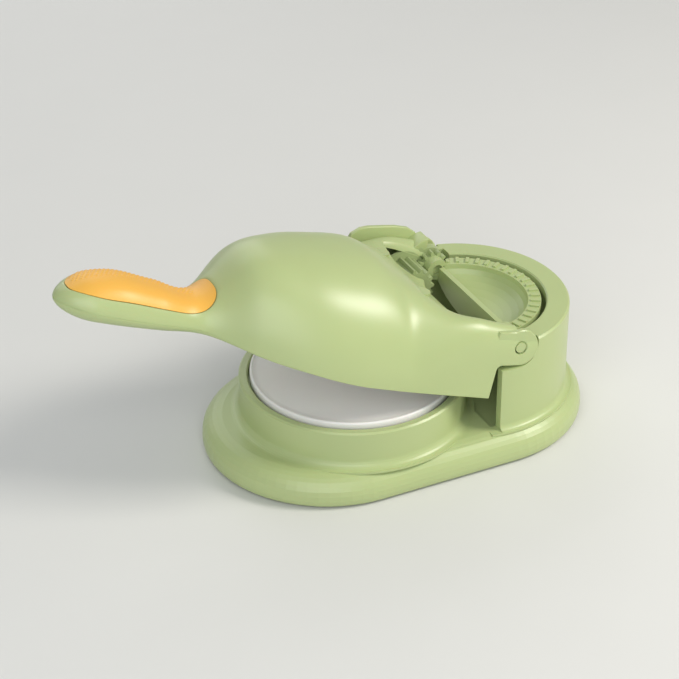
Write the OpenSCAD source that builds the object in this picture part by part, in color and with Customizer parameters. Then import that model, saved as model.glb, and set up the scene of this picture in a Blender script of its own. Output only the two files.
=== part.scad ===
// Hand press that rolls a round of dough under a hinged lever and folds a filled round in a
// mould on its tower. Millimetres, Z up, origin on the table under the middle of the foot.
// The lever is drawn level, in its own frame: the pivot is the origin and the handle points
// along -X. It is then lifted to the angle at which it rests.

/* [Foot] */
// Radius of the foot's round ends
foot_r = 57.6; // [56.8:0.2:59]
// Distance of each end's centre from the middle
foot_half = 34.5; // [32:0.5:37]
// Height of the foot's top above the table
skirt_h = 15; // [14:0.5:17]
// Wall of the foot and skirt
base_wall = 2.6; // [2.2:0.1:3.2]
// Height of the rubber feet below the skirt's edge
foot_lift = 1; // [0.8:0.1:1.6]
// Radius of a rubber foot
pad_r = 6; // [5:0.5:7]

/* [Platform] */
// Distance of the platform's centre in front of the middle
platform_x = 21.5; // [20:0.5:23]
// Radius of the platform
platform_r = 52.2; // [51.5:0.1:53]
// Height of the platform's rim
platform_h = 33; // [32:0.5:34]
// Radius of the loose press plate
plate_r = 47.1; // [46:0.1:48]
// Height of the press plate's rim above the table
plate_top = 35.2; // [34.8:0.1:35.6]
// Thickness of the press plate
plate_t = 2.6; // [2.2:0.1:3]

/* [Tower] */
// Distance of the tower's centre behind the middle
tower_x = 34.5; // [33:0.5:36]
// Radius of the tower
tower_r = 50; // [49.5:0.1:50.5]
// Height of the tower
tower_h = 58.3; // [57.5:0.1:59]
// Wall of the tower
tower_wall = 4; // [3.6:0.1:4.4]
// Radius of the well in the tower's top
well_r = 39.4; // [39:0.1:40]
// Thickness of the ring round the well
ring_t = 4.3; // [3.5:0.1:5]
// Where the tower's front is cut away, measured from the middle
tower_front = 28.5; // [27.5:0.5:29.5]
// Height of the floor inside the tower
floor_h = 12; // [11:0.5:13]

/* [Lever pivot] */
// Distance of the lever's pivot behind the middle
pivot_x = 38; // [37.5:0.1:38.5]
// Height of the lever's pivot
pivot_z = 56; // [55.6:0.1:56.4]
// Angle of the lever above closed, as it rests
rest_lift = 14; // [13:0.5:15]
// Radius of the two pivot pins
pin_r = 2.5; // [2.3:0.1:2.7]
// Running clearance round a pin
run_gap = 0.06; // [0.04:0.01:0.1]
// Thickness of a lever arm
arm_t = 3.5; // [3:0.1:3.7]
// Radius of a lever arm's round end
arm_r = 9; // [8:0.5:9.5]
// Side gap between an arm and the tower's cheek
side_gap = 0.4; // [0.3:0.05:0.6]
// Thickness of a tower cheek
cheek_t = 3.4; // [3:0.1:3.6]

/* [Lever body] */
// Half width of the lever from the tower to the dome, and of its broad shoulder
body_w = [49.7, 49.7, 49.5, 48.5, 47, 42, 31.5]; // [5:0.5:55]
// Half width of the neck, handle and tip
handle_w = [15, 15, 15.5, 12.5, 6.5]; // [5:0.5:20]
// Height of the crown above the pivot, at each station from the pivot forwards
crown = [7.5, 12.5, 15, 25, 27, 27, 23, 4.5, 8.5, 13, 11, 5.5]; // [-5:0.5:30]
// Height of the lower rim above the pivot, at the same stations
rim = [-26, -24, -22, -20, -17.5, -14, -11, -7, -3.5, 0, 2.5, 3]; // [-30:0.5:5]
// Depth of the handle below the rim, at the same stations
belly = [0, 0, 0, 0, 0, 0, 1, 4, 6, 7, 7, 6]; // [0:0.5:8]
// Wall of the lever
lever_wall = 2.5; // [2:0.1:3]
// Distance from the pivot to the handle's tip
lever_len = 206.5; // [204:0.5:210]
// Length over which the tip is rounded
tip_len = 16; // [12:0.5:20]
// Depth of the saddle behind the dome
saddle = 13; // [11:0.5:14]
// Distance in front of the pivot of the lever's rear edge below the arms
skirt_back = 10.5; // [10:0.5:12]
// Radius of the notch in the lever's rear edge
notch_r = 44; // [42:0.5:46]
// Distance in front of the pivot of the notch's deepest point
notch_front = 16.7; // [16:0.1:18]

/* [Handle] */
// Where the handle's cover begins in front of the pivot
cover_from = 118; // [116:0.5:122]
// Where the soft grip begins
grip_from = 136; // [132:0.5:140]
// How far the grip stands above the handle
grip_rise = 0.5; // [0.3:0.1:0.8]
// Seam round the grip
grip_seam = 0.25; // [0.2:0.05:0.4]

/* [Press head] */
// Radius of the press head
head_r = 43.5; // [42:0.5:44.5]
// Thickness of the press head
head_t = 2.4; // [2:0.1:3]
// Thickness of the white pad under it
pad_t = 1.4; // [1.2:0.1:1.8]
// Gap between the pad and the plate with the lever closed
press_gap = 0.35; // [0.3:0.05:0.6]

/* [Gear train] */
// Distance between the pivot and the planet's shaft
planet_gap = 16.1; // [15.9:0.05:16.3]
// Teeth of the gear segment fixed to the tower
seg_n = 15; // [15:1:15]
// Teeth of the planet gear's small end
small_n = 12; // [12:1:12]
// Teeth of the planet gear's long barrel
barrel_n = 16; // [16:1:16]
// Teeth of the mould's gear
mould_n = 11; // [11:1:11]
// Angle of the planet's shaft below the level lever
planet_drop = 26; // [25:0.5:27]
// Backlash at the pitch circle
backlash = 0.16; // [0.12:0.01:0.24]
// Radius of the planet's shaft
shaft_r = 1.5; // [1.4:0.05:1.6]

/* [Mould] */
// Radius of the folding mould
mould_r = 37; // [36.5:0.1:37.5]
// Thickness of the mould's plate
mould_t = 3; // [2.6:0.1:3.4]
// Width of the crimping band
crimp_w = 5; // [4:0.5:6]
// Number of crimping ribs in the half turn
crimp_n = 21; // [17:2:25]
// Radius of the pocket's trough
pocket_r = 9; // [8:0.5:9.5]

/* [Hidden] */

$fn = 96;
eps = 0.01;
green = "#a9b98a";
orange = "#e8a93f";

half_w = concat(body_w, handle_w);
station = 20;
half_round = 36;                      // points round each end of a skirt ring
section_n = 16;                       // steps across a lever section
cover_seam = 0.15;
arm_out = half_w[0];
arm_in = arm_out - arm_t;
cheek_out = arm_in - side_gap;
cheek_in = cheek_out - cheek_t;
ring_low = tower_h - ring_t;
bore_r = pin_r + run_gap;
seat_r = pin_r + 0.02;
saddle_half = 44;

// Lengths along the lever at which its sections are drawn.
ring_step = 7.3;
lever_rings = concat([for (i = [0 : 27]) i * ring_step - arm_r],
    [for (a = [20 : 25 : 70]) lever_len - tip_len + tip_len * sin(a)],
    [lever_len - 0.5]);

// The head lies parallel to the plate when the lever is level.
head_low = plate_top + press_gap - pivot_z;
head_x = -(pivot_x + platform_x);
head_top = head_low + pad_t + head_t;
post_spread = 28;
post_r = 4;

// Gears. Both pairs share one centre distance, so their tooth counts have the same sum.
gear_m = 2 * planet_gap / (seg_n + small_n);
function pitch(n) = gear_m * n / 2;
addendum = 0.75 * gear_m;
dedendum = 1.0 * gear_m;
pressure = 25;
planet_pos = [-planet_gap * cos(planet_drop), 0, -planet_gap * sin(planet_drop)];
// Direction of the planet from the pivot as the lever rests, as an angle from +X to +Z.
mesh_dir = 180 + planet_drop - rest_lift;
mould_gear_y = [33.4, 36.4];
barrel_y = [22.3, 36.4];
wall_y = [36.7, 37.7];
small_y = [38.1, 41.4];
segment_y = [38, cheek_in];
lug_y = [19.4, 21.7];
pocket_front = 28.6;

// Catmull-Rom curve through values that stand one station apart.
function knot(v, i) = v[max(0, min(len(v) - 1, i))];
function smooth(v, l) =
    let (i = max(0, min(len(v) - 2, floor(l / station))), t = l / station - i)
    let (a = knot(v, i - 1), b = knot(v, i), c = knot(v, i + 1), d = knot(v, i + 2))
    b + 0.5 * t * (c - a + t * (2 * a - 5 * b + 4 * c - d + t * (3 * (b - c) + d - a)));
function clamp01(x) = max(0, min(1, x));
function ease(x) = let (c = clamp01(x)) c * c * (3 - 2 * c);
function tip_u(l) = clamp01((l - lever_len + tip_len) / tip_len);
function tip_k(l) = sqrt(1 - pow(tip_u(l), 2));

// A section is a rounded arch, boxy at the tower and domed from the plate forwards, with a
// saddle between the arms. inset moves it inwards by a wall.
function arch_n(l) = 12 - 9.7 * ease(l / 55);
function arch_m(l) = 8 - 6 * ease(l / 55);
function saddle_at(l, y) = saddle * (1 - ease((l - 14) / 30))
    * pow(max(0, 1 - pow(y / saddle_half, 4)), 2);
function arch(l, a, inset) =
    let (k = tip_k(l), lo = smooth(rim, l), w = (smooth(half_w, l) - inset) * k)
    let (hi = (smooth(crown, l) - lo - inset) * k, c = cos(a), s = pow(max(0, sin(a)), 2 / arch_m(l)))
    let (y = w * sign(c) * pow(abs(c), 2 / arch_n(l)))
    [inset * tip_u(l) - l, y, lo + hi * s - saddle_at(l, y) * s];
function belly_arch(l, a, inset) =
    let (k = tip_k(l), c = cos(a), s = max(0, sin(a)), w = (smooth(half_w, l) - inset) * k)
    [inset * tip_u(l) - l, w * sign(c) * pow(abs(c), 2 / arch_n(l)),
        smooth(rim, l) - cover_seam - (smooth(belly, l) - inset) * k * s];
// Height of the lever's outer face above a point of its plan.
function roof(l, y) =
    let (lo = smooth(rim, l), f = pow(max(0, 1 - pow(abs(y) / smooth(half_w, l), arch_n(l))),
        1 / arch_m(l)))
    lo + (smooth(crown, l) - lo - saddle_at(l, y)) * f;

// Closed skin between an outer and an inner stack of open rings with the same point count.
// The far end is either open like the near one, or closed by two caps.
module skin(outer, inner, turn, open) {
    r = len(outer);
    c = len(outer[0]);
    n = r * c;
    last = (r - 1) * c;
    faces = concat(
        [for (i = [0 : r - 2], j = [0 : c - 2]) each
            [[i * c + j, (i + 1) * c + j, (i + 1) * c + j + 1],
             [i * c + j, (i + 1) * c + j + 1, i * c + j + 1],
             [n + i * c + j, n + (i + 1) * c + j + 1, n + (i + 1) * c + j],
             [n + i * c + j, n + i * c + j + 1, n + (i + 1) * c + j + 1]]],
        [for (i = [0 : r - 2]) each
            [[i * c, n + i * c, n + (i + 1) * c],
             [i * c, n + (i + 1) * c, (i + 1) * c],
             [i * c + c - 1, n + (i + 1) * c + c - 1, n + i * c + c - 1],
             [i * c + c - 1, (i + 1) * c + c - 1, n + (i + 1) * c + c - 1]]],
        [for (j = [0 : c - 2]) each
            [[j, j + 1, n + j + 1], [j, n + j + 1, n + j]]],
        open ? [for (j = [last : last + c - 2]) each
            [[j, n + j + 1, j + 1], [j, n + j, n + j + 1]]] : [],
        open ? [] : [[for (j = [c - 1 : -1 : 0]) last + j], [for (j = [0 : c - 1]) n + last + j],
            [last, n + last, n + last + c - 1], [last, n + last + c - 1, last + c - 1]]);
    polyhedron(points = concat([for (q = outer) each q], [for (q = inner) each q]),
        faces = [for (f = faces) turn ? [for (k = [len(f) - 1 : -1 : 0]) f[k]] : f]);
}

// Solid through a stack of closed rings, drawn from the bottom up.
module loft(rings) {
    r = len(rings);
    c = len(rings[0]);
    polyhedron(points = [for (q = rings) each q], faces = concat(
        [[for (j = [0 : c - 1]) j]],
        [[for (j = [c - 1 : -1 : 0]) (r - 1) * c + j]],
        [for (i = [0 : r - 2], j = [0 : c - 1]) each
            [[i * c + j, (i + 1) * c + j, (i + 1) * c + (j + 1) % c],
             [i * c + j, (i + 1) * c + (j + 1) % c, i * c + (j + 1) % c]]]));
}

module on_lever() {
    translate([pivot_x, 0, pivot_z]) rotate([0, rest_lift, 0]) children();
}

// Draws a 2D shape, given as distance behind the axis and height, between two values of y.
module along_y(span) {
    translate([0, span[1], 0]) rotate([90, 0, 0]) linear_extrude(span[1] - span[0]) children();
}

module on_axis(x, z, r, span) {
    translate([x, 0, z]) along_y(span) circle(r);
}

// Outline of a gear with involute flanks, and one tooth centred on the angle phase.
function involute(a) = tan(a) * 180 / PI - a;
function tooth_half(n, r) =
    let (base = pitch(n) * cos(pressure))
    90 / n - backlash / 2 / pitch(n) * 180 / PI + involute(pressure)
        - involute(acos(min(1, base / r)));
function gear_points(n, phase) =
    let (root = pitch(n) - dedendum, tip = pitch(n) + addendum)
    let (levels = concat([root], [for (i = [0 : 4]) root + 0.4 + (tip - root - 0.4) * i / 4]))
    [for (k = [0 : n - 1], i = [0 : 2 * len(levels) - 1])
        let (side = i < len(levels) ? -1 : 1)
        let (r = levels[side < 0 ? i : 2 * len(levels) - 1 - i])
        let (a = phase + k * 360 / n + side * tooth_half(n, r))
        [r * cos(a), r * sin(a)]];
module gear(n, phase) {
    polygon(gear_points(n, phase));
}

// Screw along +Z with a flat head at the bottom and a crossed slot in it.
module screw(length, r, head_radius, head_height) {
    difference() {
        union() {
            cylinder(r = head_radius, h = head_height, $fn = 32);
            cylinder(r = r, h = length, $fn = 32);
        }
        for (a = [0, 90])
            rotate([0, 0, a])
                translate([0, 0, head_height * 0.3])
                    cube([head_radius * 1.3, 0.5, head_height * 0.7], center = true);
    }
}

// Plan of the foot, and of the well inside the tower.
module foot_plan(r) {
    for (s = [-1, 1])
        translate([s * foot_half, 0]) circle(r);
    square([2 * foot_half, 2 * r], center = true);
}
module well_plan() {
    difference() {
        translate([tower_x, 0]) circle(tower_r - tower_wall);
        translate([-platform_x, 0]) circle(platform_r);
        translate([well_from - 100, -100]) square([100, 200]);
    }
}

seat_z = 29.6;                        // where the press plate rests
well_from = tower_front - 2.5;
lug_r = 4.8;
screw_r = 1.5;
plate_low = foot_lift + 0.2;
plate_high = plate_low + 2.2;
base_posts = [[-58, 26], [-58, -26], [-8, 44], [-8, -44], [62, 26], [62, -26]];
pads = [[0, 0], [-44, 42], [-44, -42], [48, 42], [48, -42]];

// The foot is a broad roll, given as shares of its height with the inset there.
roll = [[0, 1.3], [0.08, 0.4], [0.22, 0], [0.4, 0.1], [0.56, 0.6], [0.7, 1.7], [0.81, 3.1],
    [0.9, 4.8], [0.96, 6.8], [1, 9.4]];
function foot_ring(z, d) =
    [for (i = [0 : 2 * half_round + 1])
        let (front = i > half_round)
        let (a = -90 + 180 * (front ? i - 1 : i) / half_round)
        [(front ? -foot_half : foot_half) + (foot_r - d) * cos(a), (foot_r - d) * sin(a), z]];
function skirt_z(t) = foot_lift + t * (skirt_h - foot_lift);

module base_shell() {
    color(green) difference() {
        union() {
            foot_and_tower();
            platform_body();
            for (p = base_posts)
                translate([p[0], p[1], plate_high + 0.1]) cylinder(r = 4,
                    h = (p[0] > tower_front ? floor_h : seat_z) - base_wall - plate_high, $fn = 40);
        }
        for (p = base_posts)
            translate([p[0], p[1], 0]) cylinder(r = screw_r + 0.02, h = 9.2, $fn = 32);
        for (s = [[cheek_in - 1, cheek_out + 1], [-cheek_out - 1, -cheek_in + 1]])
            on_axis(pivot_x, pivot_z, seat_r, s);
        for (a = segment_at)
            translate([segment_hole * cos(a), 0, segment_hole * sin(a)])
                on_axis(pivot_x, pivot_z, 0.92, [cheek_in - 1, cheek_out - 0.3]);
    }
}

module foot_and_tower() {
    difference() {
        union() {
            difference() {
                loft([for (q = roll) foot_ring(skirt_z(q[0]), q[1])]);
                loft([for (q = roll) foot_ring(q[0] == 0 ? 0 : skirt_z(q[0])
                    - base_wall * pow(q[0], 3), q[1] + base_wall * (1 - 0.4 * q[0]))]);
            }
            tower_body();
        }
        translate([-platform_x, 0, 0]) cylinder(r = platform_r - base_wall - 0.3, h = skirt_h + 1);
        // Well of the tower, and pockets for the lever's arms, the gears and the mould's hub.
        translate([0, 0, floor_h]) linear_extrude(ring_low - floor_h) well_plan();
        for (s = [-1, 1])
            arm_pocket(s);
        on_axis(pivot_x, pivot_z, pitch(seg_n) + addendum + 0.8, [34, cheek_in]);
        on_axis(pivot_x, pivot_z, 5.6, [-cheek_in, -34]);
    }
}

// Fillet between the foot's top and a round wall of radius r.
function fillet(r, size) = concat([[r - 0.5, skirt_h - 1], [r + size, skirt_h - 1]],
    [for (a = [0 : 15 : 90]) [r + size - size * sin(a), skirt_h + size - size * cos(a)]],
    [[r - 0.5, skirt_h + size]]);

module platform_body() {
    inner = platform_r - base_wall - 0.2;
    low = skirt_h - base_wall;
    translate([-platform_x, 0, 0]) {
        rotate_extrude() polygon([[0, seat_z - base_wall], [inner, seat_z - base_wall],
            [inner, low], [platform_r, low], [platform_r, platform_h - 0.8],
            [platform_r - 0.8, platform_h], [plate_r + 1.6, platform_h],
            [plate_r + 0.9, platform_h - 0.7], [plate_r + 0.9, seat_z], [0, seat_z]]);
        rotate_extrude() polygon(fillet(platform_r, 4));
    }
}

module tower_body() {
    inner = tower_r - tower_wall;
    difference() {
        translate([tower_x, 0, 0]) union() {
            rotate_extrude() polygon(fillet(tower_r, 3));
            rotate_extrude() polygon([[0, floor_h - base_wall], [tower_r, floor_h - base_wall],
                [tower_r, tower_h - 0.8], [tower_r - 0.8, tower_h], [well_r + 0.6, tower_h],
                [well_r, tower_h - 0.6], [well_r, ring_low], [inner, ring_low],
                [inner, floor_h], [0, floor_h]]);
            for (s = [-1, 1])
                intersection() {
                    cylinder(r = inner + 1, h = tower_h);
                    translate([-20, s * (cheek_in + cheek_t) - (s > 0 ? cheek_t : 0), floor_h])
                        cube([38, cheek_t, tower_h - floor_h - 0.01]);
                }
            translate([well_from - 2.5 - tower_x, -tower_r, floor_h - base_wall])
                intersection() {
                    cube([12, 2 * tower_r, skirt_h - floor_h + base_wall]);
                    translate([tower_x - well_from + 2.5, tower_r, 0]) cylinder(r = tower_r, h = 60);
                }
        }
        translate([tower_front - 200, -100, skirt_h]) cube([200, 200, 100]);
        translate([well_from - 2.5 - 200, -100, 0]) cube([200, 200, 100]);
    }
    for (s = [[cheek_in, cheek_out], [-cheek_out, -cheek_in]])
        on_axis(pivot_x, pivot_z, lug_r, s);
}

// Room outside a cheek for the lever's arm to swing.
module arm_pocket(s) {
    along_y(s > 0 ? [cheek_out, 60] : [-60, -cheek_out]) {
        translate([pivot_x, pivot_z]) circle(arm_r + 0.6);
        translate([pivot_x - 30, pivot_z - arm_r - 0.6]) square([30, 40]);
        translate([pivot_x - 30, pivot_z]) square([30 + arm_r + 0.6, 40]);
    }
}

module bottom_plate() {
    color(green) difference() {
        translate([0, 0, plate_low]) linear_extrude(plate_high - plate_low)
            foot_plan(foot_r - base_wall - 1.7);
        for (p = base_posts)
            translate([p[0], p[1], 0]) {
                cylinder(r = screw_r + 0.1, h = 10, $fn = 32);
                cylinder(r = 3.1, h = plate_low + 1.2, $fn = 32);
            }
        for (p = pads)
            translate([p[0], p[1], 0]) cylinder(r = pad_r + 0.05, h = plate_low + 1, $fn = 48);
    }
}

module rubber_feet() {
    color("#3a3c3e") for (p = pads)
        translate([p[0], p[1], 0]) rotate_extrude($fn = 48) polygon([[0, 0], [pad_r - 0.5, 0],
            [pad_r, 0.5], [pad_r, plate_low + 0.97], [0, plate_low + 0.97]]);
}

module base_screws() {
    color("#c8cbce") for (p = base_posts)
        translate([p[0], p[1], plate_low - 0.1]) screw(7.6, screw_r, 3, 1.25);
}

// The plate has a slightly dished face, a rounded rim and a foot ring that rests on the seat.
module press_plate() {
    dish = plate_top - 0.5;
    color("#f3f2ee") translate([-platform_x, 0, 0]) {
        rotate_extrude() polygon([[0, dish - plate_t], [plate_r - 5, dish - plate_t],
            [plate_r - 5, seat_z + 0.02], [plate_r - 1.5, seat_z + 0.02],
            [plate_r, seat_z + 1.5], [plate_r, plate_top - 0.7], [plate_r - 0.3, plate_top - 0.2],
            [plate_r - 1, plate_top], [plate_r - 1.8, plate_top - 0.1], [plate_r - 3.4, dish], [0, dish]]);
        for (a = [0 : 60 : 120])
            rotate([0, 0, a]) translate([-plate_r + 4, -0.9, seat_z + 0.02])
                cube([2 * plate_r - 8, 1.8, dish - plate_t - seat_z]);
    }
}

module pivot_pin(span) {
    color("#a9b98a") on_axis(pivot_x, pivot_z, pin_r, span);
}
module near_pivot_pin() {
    pivot_pin([-arm_out + 0.7, -36]);
}
module far_pivot_pin() {
    pivot_pin([30.5, arm_out - 0.7]);
}

// The segment has teeth only where the planet rolls, so that it stays low behind.
segment_hole = 5.2;
segment_at = [-50, -130];
module gear_segment() {
    color("#9aa27e") difference() {
        translate([pivot_x, 0, pivot_z]) along_y([segment_y[0], segment_y[1] - 0.02]) {
            circle(7.4);
            intersection() {
                gear(seg_n, mesh_dir);
                polygon(concat([[0, 0]], [for (a = [110 : 12 : 230]) [20 * cos(a), 20 * sin(a)]]));
            }
        }
        on_axis(pivot_x, pivot_z, seat_r, [segment_y[0] - 1, segment_y[1] + 1]);
        for (a = segment_at)
            translate([segment_hole * cos(a), 0, segment_hole * sin(a)]) {
                on_axis(pivot_x, pivot_z, 0.95, [segment_y[0] - 1, segment_y[1] + 1]);
                on_axis(pivot_x, pivot_z, 1.9, [segment_y[0] - 1, segment_y[0] + 1.1]);
            }
    }
}

module segment_screws() {
    color("#c8cbce") for (a = segment_at)
        translate([pivot_x + segment_hole * cos(a), segment_y[0] + 0.1,
            pivot_z + segment_hole * sin(a)])
            rotate([-90, 0, 0]) screw(cheek_out - segment_y[0] - 0.6, 0.9, 1.8, 0.95);
}

// Points of a run of lever sections, from angle 90 - spread to 90 + spread.
function arcs(list, inset, spread) = [for (l = list)
    [for (j = [0 : section_n]) arch(l, 90 - spread + 2 * spread * j / section_n, inset)]];

// The grip's inlay covers the top of the handle and ends in two rounded ends.
grip_to = lever_len - 5;
function grip_spread(l, grow) =
    let (mid = (grip_from + grip_to) / 2, half = (grip_to - grip_from) / 2 + grow)
    max(6, (52 + grow * 4) * pow(max(0, 1 - pow(abs(l - mid) / half, 5)), 0.4));
function grip_rings(out, into, grow) =
    let (mid = (grip_from + grip_to) / 2, half = (grip_to - grip_from) / 2 + grow)
    [for (inset = [-out, into]) [for (i = [0 : 20])
        let (l = mid - half * cos(9 * i))
        [for (j = [0 : 12]) arch(l, 90 + grip_spread(l, grow) * (j / 6 - 1), inset)]]];
module grip_inlay(out, into, grow) {
    q = grip_rings(out, into, grow);
    skin(q[0], q[1], true, true);
}

lug_points = concat([[-11.2, -7], [-12.5, -2.4], [-15.5, -1.4]],
    [for (l = [18 : 3 : 30]) [-l, roof(l, 20.5) - 0.7]], [[-30, -2], [-18, -9]]);
hood_r = 12.2;
shoulder_back = 1.8;
roof_back = 6.3;
cheek_relief = [10.5, 2.9];
ear_points = [[-2, -2], [-2, 4.6], [-3.4, 8.6], [-5.6, 11.3], [-10.4, 13.6], [-17.2, 14.3],
    [-24, 14.2], [-31.8, 13.9], [-36, 13.1], [-40.2, 10.2], [-42, 5], [-41, -8], [-2, -8]];
cover_posts = [146, 184];
screw_len = 9.5;

module lever_shell() {
    color(green) on_lever() difference() {
        resize([0, 0, 0]) union() {
            difference() {
                skin(arcs(lever_rings, 0, 90), arcs(lever_rings, lever_wall, 90), true, false);
                translate([notch_r - notch_front, 0, -40]) cylinder(r = notch_r, h = 80, $fn = 144);
                translate([-skirt_back, -60, -60]) cube([60, 120, 60 - arm_r + 0.4]);
                translate([-shoulder_back, -arm_in - 0.4, -60]) cube([60, 2 * arm_in + 0.8, 120]);
                translate([-roof_back, -38.5, -60]) cube([60, 77, 120]);
                on_axis(0, 0, lug_r + 0.6, [-arm_in - 0.05, -28]);
                for (side = [-45.47, 45.47])
                    translate([-cheek_relief[0], side - 0.86, -60])
                        cube([60, 1.72, 60 + cheek_relief[1]]);
                along_y([-60, 60]) difference() {
                    translate([0, -60]) square([40, 120]);
                    circle(arm_r - 0.3);
                }
                translate([-pocket_front, lug_y[1] + 0.1, -14])
                    cube([60, wall_y[1] + 0.25 - lug_y[1], 60]);
                grip_inlay(4, 1.2, grip_seam);
            }
            for (s = [[arm_in, arm_out - 0.04], [-arm_out + 0.04, -arm_in]])
                along_y(s) {
                    circle(arm_r);
                    translate([-13, -arm_r + 0.1]) square([13, 2 * arm_r - 1.5]);
                }
            along_y([arm_in + 0.2, arm_out - 0.8]) polygon(ear_points);
            along_y([wall_y[1] + 0.35, arm_in + 0.4]) intersection() {
                circle(hood_r);
                polygon([[-2.2, 4], [-2.2, 20], [-20, 20], [-20, 3.6], [-9, 3.6]]);
            }
            along_y(lug_y) {
                translate([planet_pos[0], planet_pos[2]]) circle(4);
                polygon(lug_points);
            }
            on_axis(planet_pos[0], planet_pos[2], 3.4, [arm_in - 0.1, arm_in + 1]);
            head_posts(post_r, 100);
            for (l = cover_posts)
                translate([-l, 0, smooth(rim, l) - 1]) cylinder(r = 3,
                    h = roof(l, 0) - smooth(rim, l) - 0.6, $fn = 40);
            for (y = [-22, 0, 22])
                rib(y);
        }
        on_axis(0, 0, pitch(seg_n) + addendum + 0.5, [wall_y[1], arm_in]);
        for (s = [[arm_in - 1, arm_out + 1], [-arm_out - 1, -arm_in + 1]])
            on_axis(0, 0, bore_r, s);
        on_axis(planet_pos[0], planet_pos[2], shaft_r + 0.02, [lug_y[0] - 1, arm_out - 1.2]);
        head_posts(screw_r + 0.02, screw_len - 1);
        for (l = cover_posts)
            translate([-l, 0, smooth(rim, l) - 4]) cylinder(r = 1.27, h = 11, $fn = 32);
    }
}

// Posts that hold the press head, from its top to just under the crown, or their bores if a
// shorter length is given.
module head_posts(r, length) {
    for (sx = [-1, 1], sy = [-1, 1]) {
        x = head_x + sx * post_spread * cos(45);
        y = sy * post_spread * sin(45);
        low = head_top + 0.05;
        high = roof(-x - sx * 3, abs(y) + 3) - 0.8;
        translate([x, y, low - (length < 100 ? 1 : 0)])
            cylinder(r = r, h = min(length, high - low), $fn = 40);
    }
}

// Stiffening rib under the dome.
module rib(y) {
    front = [for (l = [98 : -8 : 34]) [-l, roof(l, abs(y) + 1) - 1.2]];
    back = [for (l = [34 : 8 : 98]) [-l, roof(l, abs(y) + 1) - 6]];
    along_y([y - 0.8, y + 0.8]) polygon(concat(front, back));
}

cover_rings = [for (l = lever_rings) if (l > cover_from) l];
module handle_cover() {
    color(green) on_lever() difference() {
        union() {
            skin([for (l = cover_rings) [for (j = [0 : section_n])
                    belly_arch(l, 180 * j / section_n, 0)]],
                [for (l = cover_rings) [for (j = [0 : section_n])
                    belly_arch(l, 180 * j / section_n, 2.2)]], false, false);
            for (l = cover_posts)
                translate([-l, 0, smooth(rim, l) - smooth(belly, l) + 1])
                    cylinder(r = 3.6, h = smooth(belly, l) - 2.1, $fn = 40);
        }
        for (l = cover_posts)
            translate([-l, 0, smooth(rim, l) - smooth(belly, l) - 1]) {
                cylinder(r = 1.35, h = 20, $fn = 32);
                cylinder(r = 2.4, h = 3.6, $fn = 32);
            }
    }
}

module handle_screws() {
    color("#c8cbce") on_lever() for (l = cover_posts)
        translate([-l, 0, smooth(rim, l) - smooth(belly, l) + 1.4]) screw(10, 1.25, 2.3, 1.15);
}

module grip_insert() {
    color(orange) on_lever() grip_inlay(grip_rise, 1.15, 0);
}

// The head is a ribbed disc on four posts. The pad under it hides its screws.
module press_head() {
    low = head_low + pad_t + 0.02;
    color(green) on_lever() translate([head_x, 0, 0]) difference() {
        union() {
            translate([0, 0, low]) cylinder(r = head_r, h = head_top - low);
            for (a = [0 : 45 : 135])
                rotate([0, 0, a]) translate([-38, -0.8, low]) cube([76, 1.6, 6]);
            translate([0, 0, low]) rotate_extrude() polygon([[12, 0], [13.6, 0], [13.6, 6], [12, 6]]);
        }
        for (a = [45 : 90 : 315])
            rotate([0, 0, a]) translate([post_spread, 0, low - 1]) {
                cylinder(r = screw_r + 0.1, h = 20, $fn = 32);
                cylinder(r = 3.1, h = 2.3, $fn = 32);
                translate([0, 0, head_top - low + 1]) cylinder(r = post_r + 0.3, h = 9, $fn = 40);
            }
    }
}

module press_pad() {
    color("#f3f2ee") on_lever() translate([head_x, 0, head_low]) rotate_extrude()
        polygon([[0, 0], [head_r - 1, 0], [head_r, 0.6], [head_r, pad_t], [0, pad_t]]);
}

module head_screws() {
    color("#c8cbce") on_lever() for (a = [45 : 90 : 315])
        translate([head_x + post_spread * cos(a), post_spread * sin(a), head_low + pad_t + 0.05])
            screw(screw_len, screw_r, 3, 1.2);
}

module on_planet() {
    on_lever() translate(planet_pos) children();
}

module planet_shaft() {
    color("#c8cbce") on_planet() on_axis(0, 0, shaft_r, [lug_y[0], arm_out - 1.3]);
}

// The barrel, the wall beside it and the small gear turn as one on the planet's shaft.
module planet_gear() {
    back = mesh_dir + rest_lift + 180;
    color(green) on_planet() difference() {
        union() {
            along_y(barrel_y) gear(barrel_n, back + 180 / barrel_n);
            on_axis(0, 0, pitch(barrel_n) - dedendum + 0.3, [barrel_y[0], wall_y[1]]);
            on_axis(0, 0, wall_r, wall_y);
            on_axis(0, 0, 3.2, [wall_y[0], small_y[1]]);
            along_y(small_y) gear(small_n, back + 180 / small_n);
        }
        on_axis(0, 0, shaft_r + run_gap, [0, 60]);
    }
}
wall_r = planet_gap - pin_r - 0.5;

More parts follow.
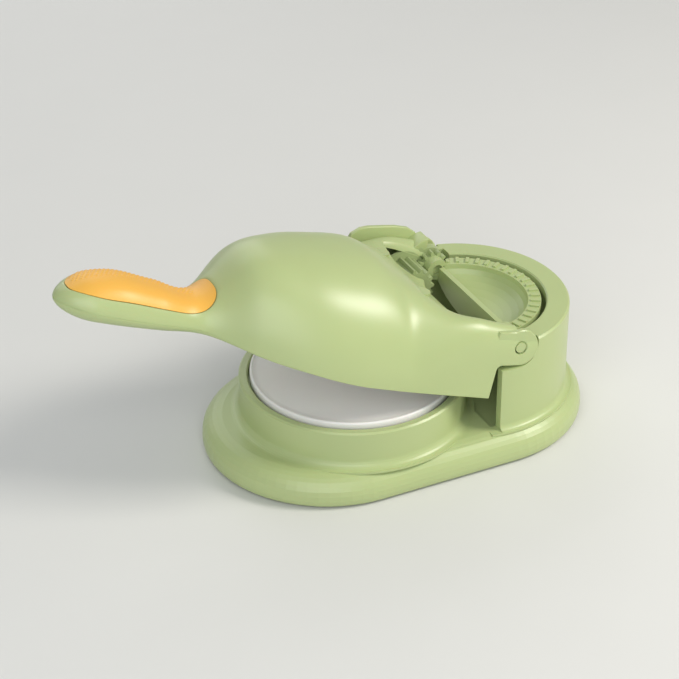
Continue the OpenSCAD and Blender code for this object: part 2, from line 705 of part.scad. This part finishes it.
// Half round that lies behind the pivot, with a pocket under it and a ribbed band round it.
hub_r = 5.2;
mould_hole = 3.9;
mould_top = pivot_z + 1.3;
module mould_half(r, low, high) {
    translate([0, 0, low]) linear_extrude(high - low) intersection() {
        translate([tower_x, 0]) circle(r);
        translate([pivot_x + 0.3, -60]) square([60, 120]);
    }
}
function pocket(r, deep) = concat([[0, 0]], [for (a = [0 : 10 : 90])
    [r * cos(a), -deep * sin(a)]]);
pocket_out = mould_r - crimp_w;
module rear_mould() {
    color(green) difference() {
        union() {
            mould_half(mould_r, mould_top - mould_t, mould_top);
            intersection() {
                translate([tower_x, 0, mould_top]) rotate_extrude($fn = 72)
                    polygon(pocket(pocket_out + 1.2, pocket_r + 6));
                translate([pivot_x + 0.3, -60, 0]) cube([60, 120, 80]);
            }
            on_axis(pivot_x, pivot_z, 4.8, [-cheek_in + 0.3, -33]);
            on_axis(pivot_x, pivot_z, hub_r, [29, mould_gear_y[0] - 0.02]);
            for (i = [0 : crimp_n - 1])
                crimp(-80 + 160 * i / (crimp_n - 1));
        }
        intersection() {
            translate([tower_x, 0, mould_top + eps]) rotate_extrude($fn = 72)
                polygon(pocket(pocket_out - 1, pocket_r + 3.8));
            translate([pivot_x + 2.8, -60, 0]) cube([60, 120, 80]);
        }
        translate([pivot_x - 20, mould_gear_y[0] - 0.02, 0]) cube([29, 20, 80]);
        on_axis(pivot_x, pivot_z, bore_r, [28, 40]);
        on_axis(pivot_x, pivot_z, bore_r, [-45, -32]);
        for (a = [0, 180])
            translate([mould_hole * cos(a), 0, 0]) on_axis(pivot_x, pivot_z, 0.67, [30.2, 40]);
    }
}
module crimp(a) {
    translate([tower_x, 0, mould_top - 0.1]) rotate([0, 0, a])
        translate([pocket_out + 0.2, -0.8, 0]) cube([crimp_w - 0.6, 1.6, 0.9]);
}

module mould_gear() {
    y = [mould_gear_y[0], mould_gear_y[1]];
    color(green) difference() {
        translate([pivot_x, 0, pivot_z]) along_y(y) gear(mould_n, mesh_dir);
        on_axis(pivot_x, pivot_z, bore_r, [30, 40]);
        for (a = [0, 180])
            translate([mould_hole * cos(a), 0, 0]) {
                on_axis(pivot_x, pivot_z, 0.7, [30, 40]);
                on_axis(pivot_x, pivot_z, 1.15, [y[1] - 0.9, y[1] + 1]);
            }
    }
}

module mould_gear_screws() {
    color("#c8cbce") for (a = [0, 180])
        translate([pivot_x + mould_hole * cos(a), mould_gear_y[1] - 0.1, pivot_z])
            rotate([90, 0, 0]) screw(5.8, 0.65, 1.05, 0.75);
}

base_shell();
bottom_plate();
rubber_feet();
base_screws();
press_plate();
near_pivot_pin();
far_pivot_pin();
gear_segment();
segment_screws();
lever_shell();
handle_cover();
handle_screws();
grip_insert();
press_head();
press_pad();
head_screws();
planet_shaft();
planet_gear();
rear_mould();
mould_gear();
mould_gear_screws();
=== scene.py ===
import math
import bpy
import numpy as np
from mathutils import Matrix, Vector


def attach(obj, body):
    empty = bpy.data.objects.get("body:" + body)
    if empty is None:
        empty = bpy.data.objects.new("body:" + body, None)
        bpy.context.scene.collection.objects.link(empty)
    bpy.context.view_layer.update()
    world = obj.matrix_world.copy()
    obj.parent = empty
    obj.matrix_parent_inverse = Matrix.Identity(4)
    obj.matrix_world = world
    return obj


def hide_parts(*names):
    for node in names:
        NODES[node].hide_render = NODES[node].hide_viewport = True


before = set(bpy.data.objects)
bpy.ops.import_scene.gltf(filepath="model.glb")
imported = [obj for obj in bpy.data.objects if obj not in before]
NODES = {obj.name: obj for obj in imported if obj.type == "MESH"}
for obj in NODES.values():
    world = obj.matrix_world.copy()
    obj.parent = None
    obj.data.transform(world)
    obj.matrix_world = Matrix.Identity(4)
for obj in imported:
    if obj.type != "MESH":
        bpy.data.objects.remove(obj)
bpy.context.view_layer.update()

MM = 0.001


def linear(code):
    """An sRGB hex colour as the linear rgba that a shader socket takes."""
    c = np.array([int(code[i:i + 2], 16) / 255 for i in (1, 3, 5)])
    c = np.where(c <= 0.04045, c / 12.92, ((c + 0.055) / 1.055) ** 2.4)
    return (*c.tolist(), 1.0)


def add(mat, kind, inputs=(), **props):
    """Adds a node of that kind, sets its properties, and sets or links its named inputs."""
    n = mat.node_tree.nodes.new(kind)
    for k, v in props.items():
        setattr(n, k, v)
    for k, v in dict(inputs).items():
        s = n.inputs[k]
        if isinstance(v, bpy.types.NodeSocket):
            mat.node_tree.links.new(v, s)
        else:
            s.default_value = v
    return n


def material(name, shade, tint, rough, grain_mm, grain_depth, sheen=0.0, metal=0.0, soft=0.0):
    """A finish in Object coordinates: two close shades in slow noise, and a fine grain as bump."""
    m = bpy.data.materials.new(name)
    m.use_nodes = True
    m.node_tree.nodes.clear()
    at = add(m, "ShaderNodeTexCoord").outputs["Object"]
    slow = add(m, "ShaderNodeTexNoise", {"Vector": at, "Scale": 1 / 0.045, "Detail": 2.0})
    col = add(m, "ShaderNodeMix", {0: slow.outputs["Fac"], 6: linear(shade), 7: linear(tint)},
              data_type="RGBA")
    fine = add(m, "ShaderNodeTexNoise",
               {"Vector": at, "Scale": 1 / (grain_mm * MM), "Detail": 3.0, "Roughness": 0.6})
    bump = add(m, "ShaderNodeBump", {"Height": fine.outputs["Fac"], "Strength": 0.5,
                                     "Distance": grain_depth * MM})
    gloss = add(m, "ShaderNodeMapRange", {0: fine.outputs["Fac"], 3: rough - 0.04, 4: rough + 0.04})
    body = add(m, "ShaderNodeBsdfPrincipled", {
        "Base Color": col.outputs[2], "Roughness": gloss.outputs[0], "Metallic": metal,
        "Normal": bump.outputs[0], "Subsurface Weight": soft, "Subsurface Scale": 0.004,
        "Coat Weight": sheen, "Coat Roughness": 0.3})
    add(m, "ShaderNodeOutputMaterial", {"Surface": body.outputs[0]})
    return m


# Satin moulded plastic, sage green: a fine even texture with broad soft highlights.
GREEN = material("satin green plastic", "#aebc82", "#b5c389", 0.35, 0.35, 0.01, sheen=0.12, soft=0.05)
# The same plastic on the small turning parts, painted a touch darker as shade for where they sit in
# the pockets between parts.
GEAR_SHADED = material("satin green gear plastic in painted shade", "#a2b17b", "#a9b782", 0.4, 0.3, 0.012)
# Warm yellow-orange satin plastic of the grip.
ORANGE = material("satin orange grip plastic", "#eeb24a", "#f2b950", 0.4, 0.3, 0.015, soft=0.05)
# Smooth white plastic of the plate and the pad.
WHITE = material("smooth white plastic", "#e9e7e2", "#efede9", 0.35, 0.25, 0.006, soft=0.05)
# Zinc plated steel of the screws and the shaft.
STEEL = material("zinc plated steel", "#b9bcc0", "#c4c6c9", 0.3, 0.2, 0.004, metal=1.0)
# Dark rubber of the feet.
RUBBER = material("dark foot rubber", "#2f3133", "#38393b", 0.7, 0.4, 0.02)

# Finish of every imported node.
LOOK = {
    "base_shell": GREEN, "bottom_plate": GREEN, "rubber_feet": RUBBER, "base_screws": STEEL,
    "press_plate": WHITE, "near_pivot_pin": GREEN, "far_pivot_pin": GREEN, "gear_segment": GEAR_SHADED,
    "segment_screws": STEEL, "lever_shell": GREEN, "handle_cover": GREEN, "handle_screws": STEEL,
    "grip_insert": ORANGE, "press_head": GREEN, "press_pad": WHITE, "head_screws": STEEL,
    "planet_shaft": STEEL, "planet_gear": GEAR_SHADED, "rear_mould": GREEN, "mould_gear": GEAR_SHADED,
    "mould_gear_screws": STEEL,
}
for name, look in LOOK.items():
    o = NODES[name]
    o.data.materials.clear()
    o.data.materials.append(look)
    o.data.polygons.foreach_set("use_smooth", [True] * len(o.data.polygons))
    o.data.set_sharp_from_angle(angle=math.radians(32))


# Stations stand 20 mm apart from the pivot forwards. l is the distance in front of the pivot,
# y the side and h the height above it, all in millimetres.
HALF = [49.7, 49.7, 49.5, 48.5, 47, 42, 31.5, 15, 15, 15.5, 12.5, 6.5]
CROWN = [7.5, 12.5, 15, 25, 27, 27, 23, 4.5, 8.5, 13, 11, 5.5]
RIM = [-26, -24, -22, -20, -17.5, -14, -11, -7, -3.5, 0, 2.5, 3]
BELLY = [0, 0, 0, 0, 0, 0, 1, 4, 6, 7, 7, 6]
PIVOT = np.array([38.0, 0.0, 56.0])
LIFT = math.radians(14)
LENGTH, TIP = 206.25, 16.0
ARM_IN, ARM_OUT, ARM_R = 46.2, 49.7, 9.0
# Where the planet's shaft stands in the lever's frame, as l and h.
PLANET = 16.1 * np.array([math.cos(math.radians(26)), -math.sin(math.radians(26))])


def along(v, l):
    """Catmull-Rom curve through values that stand 20 mm apart."""
    v = np.asarray(v, float)
    i = np.clip(np.floor(l / 20).astype(int), 0, len(v) - 2)
    t = l / 20 - i
    a, b, c, d = (v[np.clip(i + k, 0, len(v) - 1)] for k in (-1, 0, 1, 2))
    return b + 0.5 * t * (c - a + t * (2 * a - 5 * b + 4 * c - d + t * (3 * (b - c) + d - a)))


def ease(x):
    """Smooth step from 0 to 1."""
    x = np.clip(x, 0, 1)
    return x * x * (3 - 2 * x)


def arch_at(l, a, inset):
    """Lever section at l and angle a: a rounded arch, boxy at the tower and domed in front, with
    a saddle between the arms, raised a little over the pivots so that it meets their round ends,
    closed by an ellipse at the tip and moved inwards by inset."""
    u = np.clip((l - LENGTH + TIP) / TIP, 0, 1)
    k = np.sqrt(1 - u * u)
    n, m = 12 - 9.7 * ease(l / 55), 8 - 6 * ease(l / 55)
    lo, w = along(RIM, l), (along(HALF, l) - inset) * k
    c, s = np.cos(a), np.clip(np.sin(a), 0, 1) ** (2 / m)
    y = w * np.sign(c) * np.abs(c) ** (2 / n)
    sag = 13 * (1 - ease((l - 14) / 30)) * np.clip(1 - (y / 44) ** 4, 0, 1) ** 2
    rise = 1.3 * (1 - ease(l / 18)) * ease((np.abs(y) - 39) / 4)
    h = lo + (along(CROWN, l) - lo - inset) * k * s + (rise - sag) * s
    return l - inset * u, y, h


def lever_point(l, s, inset=0.0):
    """The point a share s of the way round the section at l, measured along its arch."""
    a = np.linspace(0, math.pi, 241)
    a = a - 0.5 * np.sin(2 * a) * 0.15
    out = np.empty((len(l), 3))
    deep = np.broadcast_to(inset, l.shape)
    for q in range(0, len(l), 4000):
        z = slice(q, q + 4000)
        _, y, h = arch_at(l[z, None], a[None, :], 0.0)
        run = np.concatenate([np.zeros((len(y), 1)),
                              np.cumsum(np.hypot(np.diff(y), np.diff(h)), 1)], 1)
        run /= run[:, -1:]
        at = np.array([np.interp(t, r, a) for t, r in zip(s[z], run)])
        x, y, h = arch_at(l[z], at, deep[z])
        out[z] = np.stack([x, y, h], 1)
    return out


def meet(a, b, r):
    """The lesser of two distances, with a round of radius r where they are equal."""
    k = np.clip(r - np.abs(a - b), 0, None) / r
    return np.minimum(a, b) - k * k * r * 0.25


def join(a, b, r):
    """The greater of two distances, with a fillet of radius r."""
    return -meet(-a, -b, r)


def trimmed(us, vs, place, keep, wall, bulge, turn=False, steps=5):
    """A shell of even thickness whose edge follows keep = 0: the (u, v) grid is cut where keep
    changes sign, its outer and inner faces are place(u, v, 0) and place(u, v, wall), and the
    cut edge is a half round that stands out by bulge."""
    U, V = np.meshgrid(us, vs, indexing="ij")
    n, m = U.shape
    uv = np.stack([U.ravel(), V.ravel()], 1)
    f = keep(place(uv[:, 0], uv[:, 1], 0.0))
    i, j = np.meshgrid(np.arange(n - 1), np.arange(m - 1), indexing="ij")
    a = (i * m + j).ravel()
    tris = np.concatenate([np.stack([a, a + m, a + m + 1], 1), np.stack([a, a + m + 1, a + 1], 1)])
    edges = np.unique(np.sort(tris[:, [0, 1, 1, 2, 2, 0]].reshape(-1, 2), 1), axis=0)

    def crossing(e):
        p, q, fp, fq = uv[e[:, 0]], uv[e[:, 1]], f[e[:, 0]].copy(), f[e[:, 1]].copy()
        lo, hi = np.zeros(len(e)), np.ones(len(e))
        for _ in range(12):
            t = (lo + hi) / 2
            x = p + (q - p) * t[:, None]
            ft = keep(place(x[:, 0], x[:, 1], 0.0))
            same = (ft > 0) == (fp > 0)
            lo, hi = np.where(same, t, lo), np.where(same, hi, t)
        t = (lo + hi) / 2
        return t, p + (q - p) * t[:, None]

    cut = edges[(f[edges[:, 0]] > 0) != (f[edges[:, 1]] > 0)]
    t, x = crossing(cut)
    for near in (0, 1):
        d = t if near == 0 else 1 - t
        pick = np.where(d < 0.34)[0]
        pick = pick[np.argsort(-d[pick])]
        uv[cut[pick, near]] = x[pick]
        f[cut[pick, near]] = 0.0
    pos, neg = f > 1e-9, f < -1e-9
    tp, tn = pos[tris].sum(1), neg[tris].sum(1)
    faces = [tris[(tn == 0) & (tp > 0)]]
    mixed = tris[(tn > 0) & (tp > 0)]
    e = np.unique(np.sort(mixed[:, [0, 1, 1, 2, 2, 0]].reshape(-1, 2), 1), axis=0)
    e = e[(pos[e[:, 0]] & neg[e[:, 1]]) | (neg[e[:, 0]] & pos[e[:, 1]])]
    _, x = crossing(e)
    new = {tuple(q): len(uv) + k for k, q in enumerate(e.tolist())}
    uv = np.concatenate([uv, x])
    extra = []
    for tri in mixed.tolist():
        ring = []
        for k in range(3):
            p, q = tri[k], tri[(k + 1) % 3]
            if not neg[p]:
                ring.append(p)
            mid = new.get((min(p, q), max(p, q)))
            if mid is not None:
                ring.append(mid)
        for k in range(1, len(ring) - 1):
            extra.append([ring[0], ring[k], ring[k + 1]])
    tris = np.concatenate(faces + [np.array(extra, int).reshape(-1, 3)])
    used, tris = np.unique(tris, return_inverse=True)
    tris = tris.reshape(-1, 3)
    uv = uv[used]
    outer, inner = place(uv[:, 0], uv[:, 1], 0.0), place(uv[:, 0], uv[:, 1], wall)
    d = tris[:, [0, 1, 1, 2, 2, 0]].reshape(-1, 2)
    key = {}
    for p, q in d.tolist():
        key[(p, q)] = True
    rim = np.array([e for e in key if (e[1], e[0]) not in key])
    face = np.cross(outer[tris[:, 1]] - outer[tris[:, 0]], outer[tris[:, 2]] - outer[tris[:, 0]])
    up = np.zeros_like(outer)
    for k in range(3):
        np.add.at(up, tris[:, k], face)
    away = np.zeros_like(outer)
    run = outer[rim[:, 1]] - outer[rim[:, 0]]
    for k in (0, 1):
        np.add.at(away, rim[:, k], np.cross(run, up[rim[:, k]]
                                            / np.linalg.norm(up[rim[:, k]], axis=1)[:, None]))
    ends = np.unique(rim)
    away[ends] /= np.maximum(np.linalg.norm(away[ends], axis=1), 1e-12)[:, None]
    verts, ids = [outer, inner], {0: dict(zip(ends, ends)),
                                  steps: dict(zip(ends, ends + len(outer)))}
    total = 2 * len(outer)
    mid, half = (outer[ends] + inner[ends]) / 2, (outer[ends] - inner[ends]) / 2
    for k in range(1, steps):
        w = math.pi * k / steps
        verts.append(mid + half * math.cos(w) + away[ends] * bulge * math.sin(w))
        ids[k] = dict(zip(ends, range(total, total + len(ends))))
        total += len(ends)
    polys = tris.tolist() + (tris[:, ::-1] + len(outer)).tolist()
    for p, q in rim.tolist():
        for k in range(steps):
            polys.append([ids[k][q], ids[k][p], ids[k + 1][p], ids[k + 1][q]])
    verts = np.concatenate(verts)
    if turn:
        polys = [g[::-1] for g in polys]
    return verts, polys


def lever_world(p):
    """Points given as l, y, h in the lever's frame, lifted to its rest angle, in millimetres."""
    x, z = -p[:, 0], p[:, 2]
    c, s = math.cos(LIFT), math.sin(LIFT)
    return np.stack([PIVOT[0] + c * x + s * z, p[:, 1], PIVOT[2] - s * x + c * z], 1)


# The grip's two ends.
GRIP = (134.0, 201.5)


def grip_edge(p, gap):
    """Distance inside the grip's outline in plan: a long round-ended shape that narrows with
    the handle."""
    mid, half = (GRIP[0] + GRIP[1]) / 2, (GRIP[1] - GRIP[0]) / 2
    l, y = p[:, 0], np.abs(p[:, 1])
    wide = along(HALF, l) * np.sqrt(np.clip(1 - np.clip((l - LENGTH + TIP) / TIP, 0, 1) ** 2,
                                            0.001, 1)) * 0.86
    u = np.abs(l - mid) / half
    edge = (1 - ((y / wide) ** 3.2 + u ** 4.5) ** (1 / 3.6)) * 11
    return edge + gap


GRIP_GAP = 0.22  # dark seam round the grip
WALL = 2.2  # thickness of the lever's skin


def lever_keep(p):
    """Positive where the lever's skin stays: outside the round notch round the tower, the gear
    pocket, the grip's seat and the two pin holes, and inside the arms' round ends."""
    l, y, h = p.T
    w = np.abs(y)
    f = join(l - 10.5, h + 8.3, 3.0)
    f = meet(f, np.maximum(l, 8.7 - np.hypot(l, h)), 0.6)
    f = meet(f, np.hypot(l + 27.3, y) - 44.3, 2.0)
    f = meet(f, np.maximum(l - 2.1, w - 46.9), 1.2)
    f = meet(f, np.maximum(l - 6.6, w - 38.8), 1.2)
    pocket = np.maximum.reduce([l - 28.9, 21.5 - y, y - 38.35, -14 - h])
    f = meet(f, pocket, 1.0)
    f = np.where(l > 120, np.minimum(f, grip_edge(p, GRIP_GAP) * -1), f)
    return np.where(w > 44, np.minimum(f, np.hypot(l, h) - 3.4), f)


def shell_place(l, s, inset):
    """Lever skin: inset is thicker down the two sides of the arms."""
    if inset:
        side = 1 - ease((np.minimum(s, 1 - s) - 0.10) / 0.05)
        inset = inset * (1 + 0.55 * side * (1 - ease((l - 8) / 6)))
    return lever_point(l, s, inset)


def plate(outline, y0, y1, r):
    """A flat piece between two side planes with round edges: rings of its outline move in by a
    quarter circle at each face, and both faces are closed."""
    q = np.asarray(outline, float)
    t = np.roll(q, -1, 0) - q
    t /= np.linalg.norm(t, axis=1)[:, None]
    n = np.stack([t[:, 1], -t[:, 0]], 1)
    n = n + np.roll(n, 1, 0)
    n /= np.maximum(np.sum(n * n, 1)[:, None] / 2, 0.6)
    area = np.sum(q[:, 0] * np.roll(q[:, 1], -1) - np.roll(q[:, 0], -1) * q[:, 1])
    n = n if area > 0 else -n
    rings = []
    for a in np.linspace(0, math.pi / 2, 5):
        rings.append((r * (1 - math.sin(a)), y0 + r * (1 - math.cos(a))))
    rings += [(d, y1 + y0 - y) for d, y in rings[::-1]]
    verts = np.concatenate([np.stack([q[:, 0] - n[:, 0] * d, np.full(len(q), y),
                                      q[:, 1] - n[:, 1] * d], 1) for d, y in rings])
    m = len(q)
    faces = [[k * m + i, k * m + (i + 1) % m, (k + 1) * m + (i + 1) % m, (k + 1) * m + i]
             for k in range(len(rings) - 1) for i in range(m)]
    faces.append(list(range(m))[::-1])
    faces.append(list(range((len(rings) - 1) * m, len(rings) * m)))
    if area > 0:
        faces = [g[::-1] for g in faces]
    return verts, faces


def ring(r, count):
    """Points of a circle of radius r as (cosine, sine) pairs times r."""
    a = np.linspace(0, 2 * math.pi, count + 1)[:-1]
    return np.stack([r * np.cos(a), r * np.sin(a)], 1)


def arm_plate(y0, y1):
    """Arm's inner plate: a disc round the pivot with a bar in front, bored for the pin."""
    c, s = ring(1.0, 96).T
    bar = np.minimum(13 / np.maximum(c, 1e-9),
                     np.where(s > 0, 7.4, 8.7) / np.maximum(np.abs(s), 1e-9))
    far, near = np.where(c > 0, np.maximum(8.5, bar), 8.5), np.full(96, 3.15)
    rows = [(near, y0), (far - 0.4, y0), (far, y0 + 0.4), (far, y1 - 0.2), (far - 0.2, y1),
            (near, y1)]
    verts = np.concatenate([np.stack([r * c, np.full(96, y), r * s], 1) for r, y in rows])
    return verts, loops(6, 96)


def loops(rows, count):
    """Quads of a closed tube of rows with count points each, whose last row joins the first."""
    return [[k * count + i, k * count + (i + 1) % count,
             (k + 1) % rows * count + (i + 1) % count, (k + 1) % rows * count + i]
            for k in range(rows) for i in range(count)]


def revolve(profile, l, y, count):
    """Closed body of revolution about an upright axis: the profile runs from the axis to the
    axis as (radius, height), and its two ends are single points."""
    rows = [np.column_stack([ring(r, count) + (l, y), np.full(count, z)])
            for r, z in profile[1:-1]]
    verts = np.concatenate([[(l, y, profile[0][1])], *rows, [(l, y, profile[-1][1])]])
    last, top = len(verts) - 1, 1 + (len(rows) - 1) * count
    faces = []
    for i in range(count):
        j = (i + 1) % count
        faces.append([0, 1 + i, 1 + j])
        faces += [[1 + k * count + i, 1 + (k + 1) * count + i, 1 + (k + 1) * count + j,
                   1 + k * count + j] for k in range(len(rows) - 1)]
        faces.append([top + i, last, top + j])
    return verts, faces


def sleeve(l, low, high, inner, outer):
    """Closed upright ring round a screw hole, with square ends."""
    prof = [(inner, low), (outer, low), (outer, high), (inner, high)]
    verts = np.concatenate([np.column_stack([ring(r, 48) + (l, 0), np.full(48, z)])
                            for r, z in prof])
    return verts, loops(4, 48)


def roof(l, y):
    """Height of the lever's outer face above a point of its plan."""
    n, m = 12 - 9.7 * ease(l / 55), 8 - 6 * ease(l / 55)
    lo = along(RIM, l)
    f = np.clip(1 - (np.abs(y) / along(HALF, l)) ** n, 0, 1) ** (1 / m)
    sag = 13 * (1 - ease((l - 14) / 30)) * np.clip(1 - (y / 44) ** 4, 0, 1) ** 2
    return lo + (along(CROWN, l) - lo - sag) * f


def piece(name, parts, mat, body, nodes, world=lever_world, sharp=35):
    """One object of the listed vertex and face sets, each turned so that its faces point
    outwards, and shaded smooth up to the sharp angle."""
    verts, faces, at = [], [], 0
    for v, f in parts:
        v = world(v)
        fan = np.array([(g[0], g[k], g[k + 1]) for g in f for k in range(1, len(g) - 1)])
        a, b, c = v[fan[:, 0]], v[fan[:, 1]], v[fan[:, 2]]
        turn = -1 if np.sum(a * np.cross(b, c)) < 0 else 1
        verts.append(v * MM)
        faces += [[i + at for i in g[::turn]] for g in f]
        at += len(v)
    me = bpy.data.meshes.new(name)
    me.from_pydata(np.concatenate(verts).tolist(), [], faces)
    me.validate()
    me.polygons.foreach_set("use_smooth", [True] * len(me.polygons))
    me.set_sharp_from_angle(angle=math.radians(sharp))
    me.materials.append(mat)
    ob = bpy.data.objects.new(name, me)
    bpy.context.scene.collection.objects.link(ob)
    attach(ob, body)
    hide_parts(*nodes)
    return ob


def steps(points, counts):
    """Values that run through the points with the given counts between them."""
    out = [np.linspace(a, b, n + 1)[:-1] for a, b, n in zip(points, points[1:], counts)]
    return np.concatenate(out + [[points[-1]]])


def tip_steps(n):
    """Stations over the rounded tip, closer together towards its end."""
    return LENGTH - TIP + TIP * np.sin(np.linspace(0, math.pi / 2, n + 1))


# The lever's skin, cut from its full surface.
US = np.concatenate([steps([-9.2, 12, 50, 130, LENGTH - TIP], [30, 38, 60, 50])[:-1], tip_steps(22)])
US[-1] = LENGTH - 0.02
VS = steps([0.0, 0.1, 0.25, 0.75, 0.9, 1.0], [12, 30, 76, 30, 12])
shell = trimmed(US, VS, shell_place, lever_keep, WALL, 0.45)

# Side outlines of the flat pieces, as (l, h): the ear outside the gear, the hood over it, the
# lug that carries the shaft's inner end, and the discs round both ends of the shaft.
EAR = [(2, -2), (2, 4.6), (3.4, 8.6), (5.6, 11.3), (10.4, 13.6), (17.2, 14.3), (24, 14.2),
       (31.8, 13.9), (36, 13.1), (40.2, 10.2), (42, 5), (41, -8), (2, -8)]
HOOD_ARC = [(12.2 * math.cos(t), 12.2 * math.sin(t)) for t in np.radians(np.arange(24, 101, 4))]
HOOD = [(2.2, 4)] + [q for q in HOOD_ARC if q[0] > 2.2][::-1] + [(11.5, 3.6), (9, 3.6)]
LUG = ([(11.2, -7), (12.5, -2.4), (15.5, -1.4)]
       + [(l, roof(l, 20.5) - 0.7) for l in (18, 21, 24, 27, 30)] + [(30, -2), (18, -9)])
parts = [shell, arm_plate(46.2, 48.6), arm_plate(-48.6, -46.2), plate(EAR, 46.45, 48.85, 0.6),
         plate(HOOD, 38.1, 46.9, 0.5), plate(LUG, 19.4, 21.7, 0.3),
         plate(ring(4.0, 48) + PLANET, 19.4, 21.7, 0.3),
         plate(ring(3.4, 40) + PLANET, 46.1, 47.2, 0.3)]

# Four posts that carry the press head, and three ribs under the dome.
HEAD_L, HEAD_TOP, SPREAD = 59.5, -20.45 + 1.4 + 2.4, 28 * math.sqrt(0.5)
for l in (HEAD_L - SPREAD, HEAD_L + SPREAD):
    for y in (-SPREAD, SPREAD):
        low, high = HEAD_TOP + 0.05, roof(l + 3.0, abs(y) + 3) - 0.8
        parts.append(revolve([(0, low), (3.6, low), (4, low + 0.4), (4, high), (0, high)],
                             l, y, 48))
for y in (-22.0, 0.0, 22.0):
    top = [(l, roof(l, abs(y) + 1)) for l in range(98, 33, -8)]
    parts.append(plate([(l, h - 1.2) for l, h in top] + [(l, h - 6.0) for l, h in top[::-1]],
                       y - 0.8, y + 0.8, 0.3))
piece("lever_skin", parts, GREEN, "lever", ["lever_shell"])


def grip_place(l, s, inset):
    """Grip: it swells out of the handle from its edge inwards, and carries rows of small round
    bumps from its crest to its far edge, on a triangular grid 2.1 mm wide."""
    p = lever_point(l, s, 0.0)
    if inset:
        return lever_point(l, s, 1.1)
    edge = grip_edge(p, 0.0)
    run = np.abs(s - 0.5) * 2 * (along(HALF, l) + 8) * np.sign(s - 0.5)
    row = np.round(run / 1.8)
    bx = (l + 1.05 * (row % 2)) / 2.1
    d = np.hypot((bx - np.round(bx)) * 2.1, run - row * 1.8)
    zone = ease((edge - 0.7) / 0.4) * ease((l - 140) / 3) * ease((p[:, 1] + 1.5) / 1.0)
    bump = 0.28 * np.clip(1 - (d / 0.86) ** 2, 0, 1) ** 1.3 * zone
    lift = 0.2 * ease(edge / 3.0) + bump
    up = lever_point(l, s, -1.0) - p
    return p + up * lift[:, None]


GU, GV = np.linspace(132.5, 203, 220), np.linspace(0.02, 0.98, 150)
grip = trimmed(GU, GV, grip_place, lambda p: grip_edge(p, 0.0), 1.1, 0.0)
piece("soft_grip", [grip], ORANGE, "lever", ["grip_insert"], sharp=60)


def belly_at(l, a, inset):
    """Underside of the handle: the lower half of an ellipse at each station, closed by an
    ellipse at the tip."""
    u = np.clip((l - LENGTH + TIP) / TIP, 0, 1)
    k = np.sqrt(1 - u * u)
    c, s = np.cos(a), np.clip(np.sin(a), 0, 1)
    n = 12 - 9.7 * ease(l / 55)
    y = (along(HALF, l) - inset) * k * np.sign(c) * np.abs(c) ** (2 / n)
    return np.stack([l - inset * u, y, along(RIM, l) - 0.15 - (along(BELLY, l) - inset) * k * s], -1)


COVER_POSTS = (146.0, 184.0)


def cover_keep(p):
    """Positive outside the two screw holes of the underside."""
    return np.minimum.reduce([np.hypot(p[:, 0] - l, p[:, 1]) for l in COVER_POSTS]) - 2.6


CU = np.concatenate([steps([118.5, LENGTH - TIP], [48])[:-1], tip_steps(16)])
CU[-1] = LENGTH - 0.02


# White plate, in the row frame: a shallow dish that rises to a thin soft edge.
dish = [(r, 34.05 + 0.8 * (r / 45.4) ** 3) for r in np.linspace(0, 45.4, 24)]
edge = [(46.25 + 0.85 * math.sin(t), 34.3 + 0.85 * math.cos(t)) for t in np.linspace(-0.5, 1.45, 9)]
under = [(47.1, 31.2), (46.6, 30.1), (45.6, 29.64), (42.4, 29.64), (42.1, 29.9), (42.1, 31.7),
         (41.6, 32.1), (0, 32.1)]
plate_form = revolve(dish + edge + under, -21.5, 0, 144)
piece("plate_dish", [plate_form], WHITE, "base", ["press_plate"], world=lambda p: p)

# Underside of the handle with its two screw holes.
cover = [trimmed(CU, np.linspace(0, math.pi, 73), belly_at, cover_keep, 1.8, 0.0)]
for l in COVER_POSTS:
    low = float(along(RIM, l) - along(BELLY, l))
    cover.append(sleeve(l, low + 0.7, low + 3.4, 2.5, 3.6))
piece("handle_underside", cover, GREEN, "lever", ["handle_cover"])


# Plain pale floor.
floor = bpy.data.meshes.new("floor")
floor.from_pydata([(-3, -3, 0), (3, -3, 0), (3, 3, 0), (-3, 3, 0)], [], [(0, 1, 2, 3)])
floor_ob = bpy.data.objects.new("floor", floor)
bpy.context.scene.collection.objects.link(floor_ob)
floor.materials.append(material("pale floor", "#dcdcd8", "#dededa", 0.6, 2.0, 0.01))


def area_light(name, place, aim, size, watts, tint):
    """A soft square light that looks at a point."""
    data = bpy.data.lights.new(name, "AREA")
    data.size = size
    data.energy = watts
    data.color = linear(tint)[:3]
    ob = bpy.data.objects.new(name, data)
    ob.location = place
    ob.rotation_euler = (Vector(aim) - Vector(place)).to_track_quat("-Z", "Y").to_euler()
    bpy.context.scene.collection.objects.link(ob)


area_light("key", (0.68, -0.42, 0.74), (0, 0, 0.05), 0.35, 7.5, "#fffaf2")
area_light("fill", (-0.6, -0.9, 0.7), (0, 0, 0.05), 1.1, 8.6, "#f6f8fc")
area_light("rear", (0.0, 1.0, 0.6), (0, 0, 0.06), 0.9, 3, "#ffffff")

world = bpy.data.worlds.new("plain")
bpy.context.scene.world = world
world.use_nodes = True
world.node_tree.nodes["Background"].inputs[0].default_value = linear("#e6e9ec")
world.node_tree.nodes["Background"].inputs[1].default_value = 0.42

# The photo's camera, found by fitting the outline of the foot, plate, tower and lever.
cam_data = bpy.data.cameras.new("camera")
cam_data.sensor_width = 36
cam_data.lens = 121.3
cam = bpy.data.objects.new("camera", cam_data)
eye = Vector((-0.4212, -0.7902, 0.5926))
cam.location = eye
cam.rotation_euler = (Vector((-0.0415, -0.0269, 0.0699)) - eye).to_track_quat("-Z", "Y").to_euler()
bpy.context.scene.collection.objects.link(cam)
bpy.context.scene.camera = cam
bpy.context.scene.view_settings.view_transform = "Standard"
